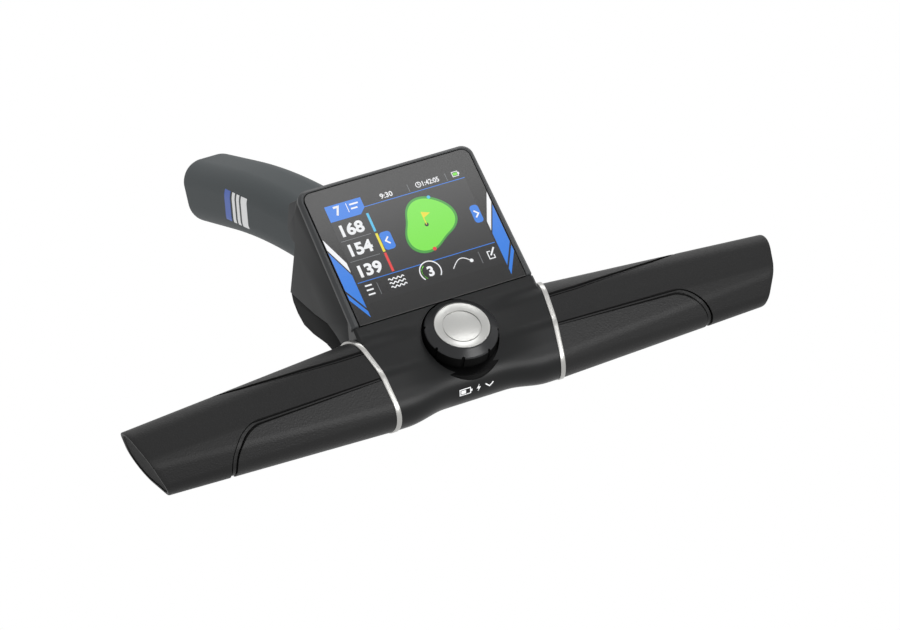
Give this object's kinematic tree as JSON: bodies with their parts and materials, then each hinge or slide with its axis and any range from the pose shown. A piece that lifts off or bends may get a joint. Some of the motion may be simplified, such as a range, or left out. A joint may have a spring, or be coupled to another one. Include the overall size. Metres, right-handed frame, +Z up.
{
  "type": "golf trolley handlebar console",
  "caption": "T-handle control console for an electric golf trolley: two soft grips, tilted colour display, push-and-turn knob, charging port and curved stem with a shaft socket.",
  "frame": {"origin": "centre of the shaft socket's mouth at the lower end of the stem", "axes": "+X right along the bar as the user holds it, +Y away from the user, +Z up"},
  "size_m": [0.3308, 0.3304, 0.1393],
  "materials": {
    "stem_grey": "satin moulded",
    "charcoal": "satin moulded",
    "graphite": "satin moulded",
    "rim_grey": "satin painted",
    "screen_glass": "glossy black cover glass",
    "lcd": "display panel",
    "board": "circuit board",
    "encoder": "moulded",
    "steel": "turned",
    "knob_grey": "satin moulded",
    "silver": "satin",
    "tube": "drawn",
    "soft_grip": "soft touch, leather grain",
    "soft_panel": "soft touch, leather grain",
    "black_plug": "matt"
  },
  "bodies": {
    "frame": {"stem_shell": "stem_grey", "rear_cover": "charcoal", "pod_housing": "graphite", "pod_base": "charcoal", "bezel": "rim_grey", "cover_glass": "screen_glass", "lcd_module": "lcd", "main_board": "board", "console_top": "charcoal", "console_base": "charcoal", "knob_pedestal": "graphite", "encoder_body": "encoder", "trim_ring_right": "silver", "trim_ring_left": "silver", "core_tube_right": "tube", "core_tube_left": "tube", "grip_right": "soft_grip", "grip_left": "soft_grip", "front_panel_right": "soft_panel", "front_panel_left": "soft_panel", "rear_panel_right": "soft_panel", "rear_panel_left": "soft_panel", "end_cap_right": "black_plug", "end_cap_left": "black_plug", "usb_port": "steel"},
    "plunger": {"encoder_shaft": "steel"},
    "knob": {"knob_ring": "knob_grey", "knob_cap": "silver"},
    "port_cover": {"usb_cover": "black_plug"}
  },
  "joints": [
    {"name": "knob_press", "type": "slide", "parent": "frame", "child": "plunger", "axis": [0, 0.3665, -0.9304], "range_m": [0, 0.0008], "stiffness_N_per_m": 1500, "springref_m": -0.002},
    {"name": "knob_turn", "type": "hinge", "parent": "plunger", "child": "knob", "pos_m": [0, -0.30619, 0.07901], "axis": [0, -0.3665, 0.9304], "continuous": true},
    {"name": "port_cover_hinge", "type": "hinge", "parent": "frame", "child": "port_cover", "pos_m": [0, -0.29539, 0.04171], "axis": [1, 0, 0], "range_deg": [0, 90]}
  ]
}
